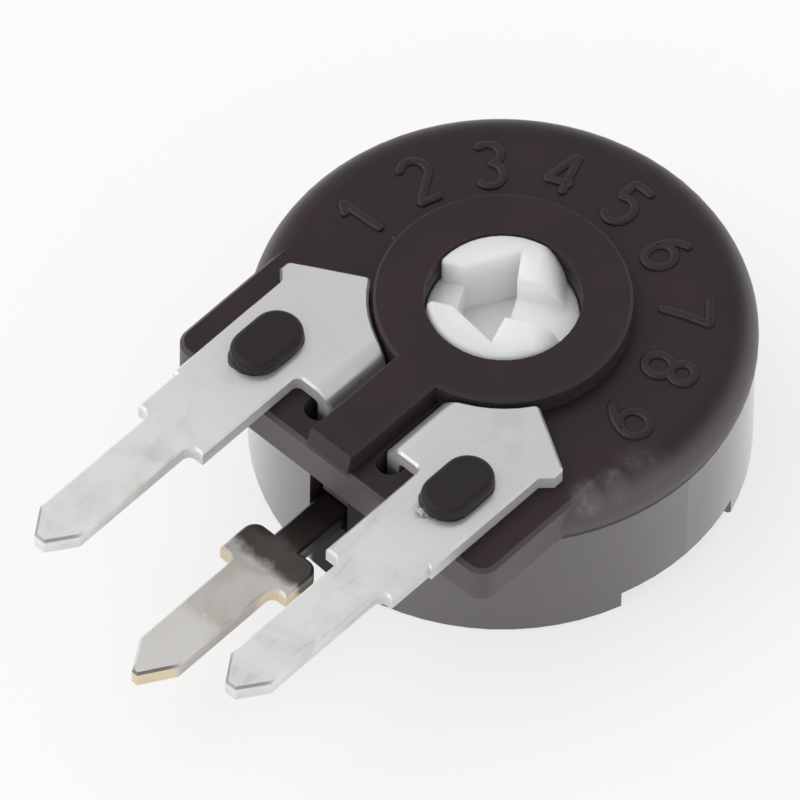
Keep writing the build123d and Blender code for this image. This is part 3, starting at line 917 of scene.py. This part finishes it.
def annulus_level():
    """Height of the cover's flat ring: the highest of its points behind the rotor and outside the hub."""
    mesh = frame["nodes"]["terminal_cover"].data
    points = np.empty(len(mesh.vertices) * 3)
    mesh.vertices.foreach_get("co", points)
    points = points.reshape(-1, 3)
    past_hub = 2.8 * MM
    behind_rotor = 1.0 * MM
    outside = np.hypot(points[:, 0], points[:, 1]) > past_hub
    return float(points[outside & (points[:, 1] > behind_rotor), 2].max())


def mesh_object(name, parts, material):
    """One mesh object on the housing from several closed parts, each of points, quads and triangles."""
    offset = np.cumsum([0] + [len(points) for points, quads, tris in parts[:-1]])
    points = np.concatenate([part[0] for part in parts])
    faces = []
    for start, (_, quads, tris) in zip(offset, parts):
        faces += (quads + start).tolist() + (tris + start).tolist()
    mesh = bpy.data.meshes.new(name)
    mesh.from_pydata(points.tolist(), [], faces)
    mesh.polygons.foreach_set("use_smooth", np.ones(len(mesh.polygons), bool))
    mesh.validate()
    mesh.update()
    mesh.materials.append(material)
    piece = put(name, mesh)
    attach(piece, "housing")


# Operators

class TRIMMER_OT_mouldings(bpy.types.Operator):
    """Finish the housing cup and the terminal cover"""

    bl_idname = "trimmer.mouldings"
    bl_label = "Finish mouldings"

    def execute(self, context):
        trimmer = context.scene.trimmer
        dress(cup_plastic(trimmer.moulding), "housing_cup")
        dress(cover_plastic(trimmer.moulding, trimmer.stake, annulus_level()), "terminal_cover")
        return {"FINISHED"}


class TRIMMER_OT_terminals(bpy.types.Operator):
    """Finish the three stamped terminals"""

    bl_idname = "trimmer.terminals"
    bl_label = "Finish terminals"

    def execute(self, context):
        trimmer = context.scene.trimmer
        end_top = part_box("end_terminal_right")[1][2]
        wiper_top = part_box("wiper_terminal")[1][2]
        dress(end_sheet(trimmer.sheet, trimmer.stake, end_top), "end_terminal_left", "end_terminal_right")
        dress(wiper_sheet(trimmer.sheet, wiper_top), "wiper_terminal")
        return {"FINISHED"}


class TRIMMER_OT_rotor(bpy.types.Operator):
    """Finish the rotor"""

    bl_idname = "trimmer.rotor"
    bl_label = "Finish rotor"

    def execute(self, context):
        dress(white_rotor(context.scene.trimmer.rotor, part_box("rotor")[1][2]), "rotor")
        return {"FINISHED"}


class TRIMMER_OT_inner_pieces(bpy.types.Operator):
    """Finish the pieces inside the housing"""

    bl_idname = "trimmer.inner_pieces"
    bl_label = "Finish inner pieces"

    def execute(self, context):
        for nodes, finish in INNER_FINISHES.items():
            dress(plain_inner(*finish), *nodes)
        return {"FINISHED"}


class TRIMMER_OT_dial_figures(bpy.types.Operator):
    """Raise plain figures on the cover's flat ring"""

    bl_idname = "trimmer.dial_figures"
    bl_label = "Raise dial figures"

    def execute(self, context):
        settings = context.scene.trimmer.dial
        level = annulus_level()
        stroke_points = 72
        middle = settings.foot_radius + settings.figure_height / 2
        places = np.linspace(-settings.spread / 2, settings.spread / 2, settings.count)
        parts = []
        for figure, place in enumerate(places, 1):
            cell = even_path(figure_strokes(figure), stroke_points)
            turn = place + (cell[:, 0] - 0.5) * settings.figure_width / middle
            radius = settings.foot_radius + cell[:, 1] * settings.figure_height
            path = np.stack([radius * np.sin(turn), radius * np.cos(turn)], 1)
            parts.append(ridge(
                path, level, settings.stroke_width / 2, settings.stroke_rise, settings.stroke_sink))
        mesh_object("dial_figures", parts, figure_plastic(context.scene.trimmer.moulding))
        return {"FINISHED"}


class TRIMMER_OT_stake_flash(bpy.types.Operator):
    """Press thin flash out round the feet of the stakes"""

    bl_idname = "trimmer.stake_flash"
    bl_label = "Press stake flash"

    def execute(self, context):
        settings = context.scene.trimmer.stake
        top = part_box("end_terminal_right")[1][2]
        parts = [flash_ring(settings, side, top) for side in SIDES]
        mesh_object("stake_flash", parts, bpy.data.materials["cover_plastic"])
        return {"FINISHED"}


class TRIMMER_OT_stage(bpy.types.Operator):
    """Lay the floor, light it and set up the camera"""

    bl_idname = "trimmer.stage"
    bl_label = "Set the stage"

    def execute(self, context):
        settings = context.scene.trimmer.stage
        lay_floor(settings)
        light_sky(settings)
        hang_soft_box(settings)
        set_camera(settings)
        context.scene.view_settings.view_transform = "Standard"
        return {"FINISHED"}


# Stage

def seen_ray(tree):
    """1 for camera, glossy and transmission rays, which show the background, and 0 for light."""
    path = tree.nodes.new("ShaderNodeLightPath")
    seen = either(tree, path.outputs["Is Camera Ray"], path.outputs["Is Glossy Ray"])
    return either(tree, seen, path.outputs["Is Transmission Ray"])


def lay_floor(settings):
    """Wide plain floor just under the part; as it is seen or mirrored, white shines through its shade."""
    half = 1.0
    gap = 0.004 * MM
    corners = np.array([(-1, -1), (1, -1), (1, 1), (-1, 1)]) * half
    points = np.concatenate([corners, np.full((len(corners), 1), -gap)], 1)
    mesh = bpy.data.meshes.new("floor")
    mesh.from_pydata(points.tolist(), [], [(0, 1, 2, 3)])
    floor = put("floor", mesh)
    material, tree, shader, _ = new_material("floor_paper")
    shader.inputs["Base Color"].default_value = (*settings.floor_colour, 1)
    shader.inputs["Roughness"].default_value = 0.9
    shader.inputs["Specular IOR Level"].default_value = 0.1
    white = add(tree, "ShaderNodeEmission", Color=(1, 1, 1, 1), Strength=1.0)
    blend = tree.nodes.new("ShaderNodeMixShader")
    tree.links.new(both(tree, seen_ray(tree), settings.paper_glow), blend.inputs[0])
    tree.links.new(shader.outputs["BSDF"], blend.inputs[1])
    tree.links.new(white.outputs["Emission"], blend.inputs[2])
    output = next(node for node in tree.nodes if node.type == "OUTPUT_MATERIAL")
    tree.links.new(blend.outputs["Shader"], output.inputs["Surface"])
    mesh.materials.append(material)


def light_sky(settings):
    """Even surroundings: white at the horizon and greyer overhead, at full strength where they are seen."""
    world = bpy.data.worlds.new("studio_sky")
    bpy.context.scene.world = world
    world.use_nodes = True
    tree = world.node_tree
    tree.nodes.clear()
    way = tree.nodes.new("ShaderNodeTexCoord").outputs["Generated"]
    height = span(tree, component(tree, way, "Z"), 0.0, 1.0, smooth=False)
    shade = blend_colour(tree, height, (1.0, 1.0, 1.0), (settings.overhead,) * 3)
    strength = span(tree, seen_ray(tree), 0.0, 1.0, settings.sky_strength, 1.0, smooth=False)
    sky = tree.nodes.new("ShaderNodeBackground")
    tree.links.new(shade, sky.inputs["Color"])
    tree.links.new(strength, sky.inputs["Strength"])
    output = tree.nodes.new("ShaderNodeOutputWorld")
    tree.links.new(sky.outputs["Background"], output.inputs["Surface"])


def hang_soft_box(settings):
    """Square soft box that looks at the part; its power follows from the level that it adds on the floor."""
    place = Vector(settings.lamp_place)
    lamp = bpy.data.lights.new("soft_box", "AREA")
    lamp.shape = "SQUARE"
    lamp.size = settings.lamp_side
    slant = place.z / place.length
    lamp.energy = settings.lamp_level * (math.pi * place.length) ** 2 / slant
    box = put("soft_box", lamp)
    box.location = place
    box.rotation_mode = "QUATERNION"
    box.rotation_quaternion = place.to_track_quat("Z", "Y")


def set_camera(settings):
    """Camera that looks down the given direction, moved sideways so that the aim lies on its pixel."""
    turn, height, roll = settings.azimuth, settings.elevation, settings.roll
    back = Vector((math.sin(turn) * math.cos(height), -math.cos(turn) * math.cos(height), math.sin(height)))
    level_right = Vector((math.cos(turn), math.sin(turn), 0))
    level_up = back.cross(level_right)
    right = math.cos(roll) * level_right + math.sin(roll) * level_up
    up = math.cos(roll) * level_up - math.sin(roll) * level_right
    data = bpy.data.cameras.new("photo_camera")
    data.sensor_width = SENSOR
    data.lens = settings.pixels_per_mm * settings.distance / MM * SENSOR / PHOTO_SIDE
    data.clip_start = 0.01
    data.clip_end = 10.0
    camera = put("photo_camera", data)
    per_pixel = MM / settings.pixels_per_mm
    aside = -right * settings.aim_pixel[0] * per_pixel + up * settings.aim_pixel[1] * per_pixel
    axes = Matrix((right, up, back)).transposed().to_4x4()
    where = Vector((0, 0, settings.aim_height)) + back * settings.distance + aside
    camera.matrix_world = Matrix.Translation(where) @ axes
    bpy.context.scene.camera = camera


# Panel and registration

class TRIMMER_PT_panel(bpy.types.Panel):
    """Lists the steps that dress the trimmer"""

    bl_idname = "TRIMMER_PT_panel"
    bl_label = "Trimmer"
    bl_space_type = "VIEW_3D"
    bl_region_type = "UI"
    bl_category = "Trimmer"

    def draw(self, context):
        for step in STEPS:
            self.layout.operator(step.bl_idname)


STEPS = (
    TRIMMER_OT_mouldings,
    TRIMMER_OT_terminals,
    TRIMMER_OT_rotor,
    TRIMMER_OT_inner_pieces,
    TRIMMER_OT_dial_figures,
    TRIMMER_OT_stake_flash,
    TRIMMER_OT_stage,
)
CLASSES = (
    MouldingSettings,
    SheetSettings,
    RotorSettings,
    DialSettings,
    StakeSettings,
    StageSettings,
    TrimmerSettings,
    *STEPS,
    TRIMMER_PT_panel,
)


def register():
    for kind in CLASSES:
        bpy.utils.register_class(kind)
    bpy.types.Scene.trimmer = PointerProperty(type=TrimmerSettings)


def unregister():
    del bpy.types.Scene.trimmer
    for kind in reversed(CLASSES):
        bpy.utils.unregister_class(kind)


def clear_startup_objects():
    """Takes away what a new file starts with, and leaves the frame."""
    keep = {*frame["nodes"].values(), *frame["bodies"].values()}
    for item in [item for item in bpy.data.objects if item not in keep]:
        bpy.data.objects.remove(item)


def main():
    """Registers the add-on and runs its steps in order."""
    clear_startup_objects()
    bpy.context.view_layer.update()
    register()
    for step in STEPS:
        group, name = step.bl_idname.split(".")
        result = getattr(getattr(bpy.ops, group), name)()
        if result != {"FINISHED"}:
            raise RuntimeError(f"step {step.bl_idname} did not finish")


if __name__ == "__main__":
    main()
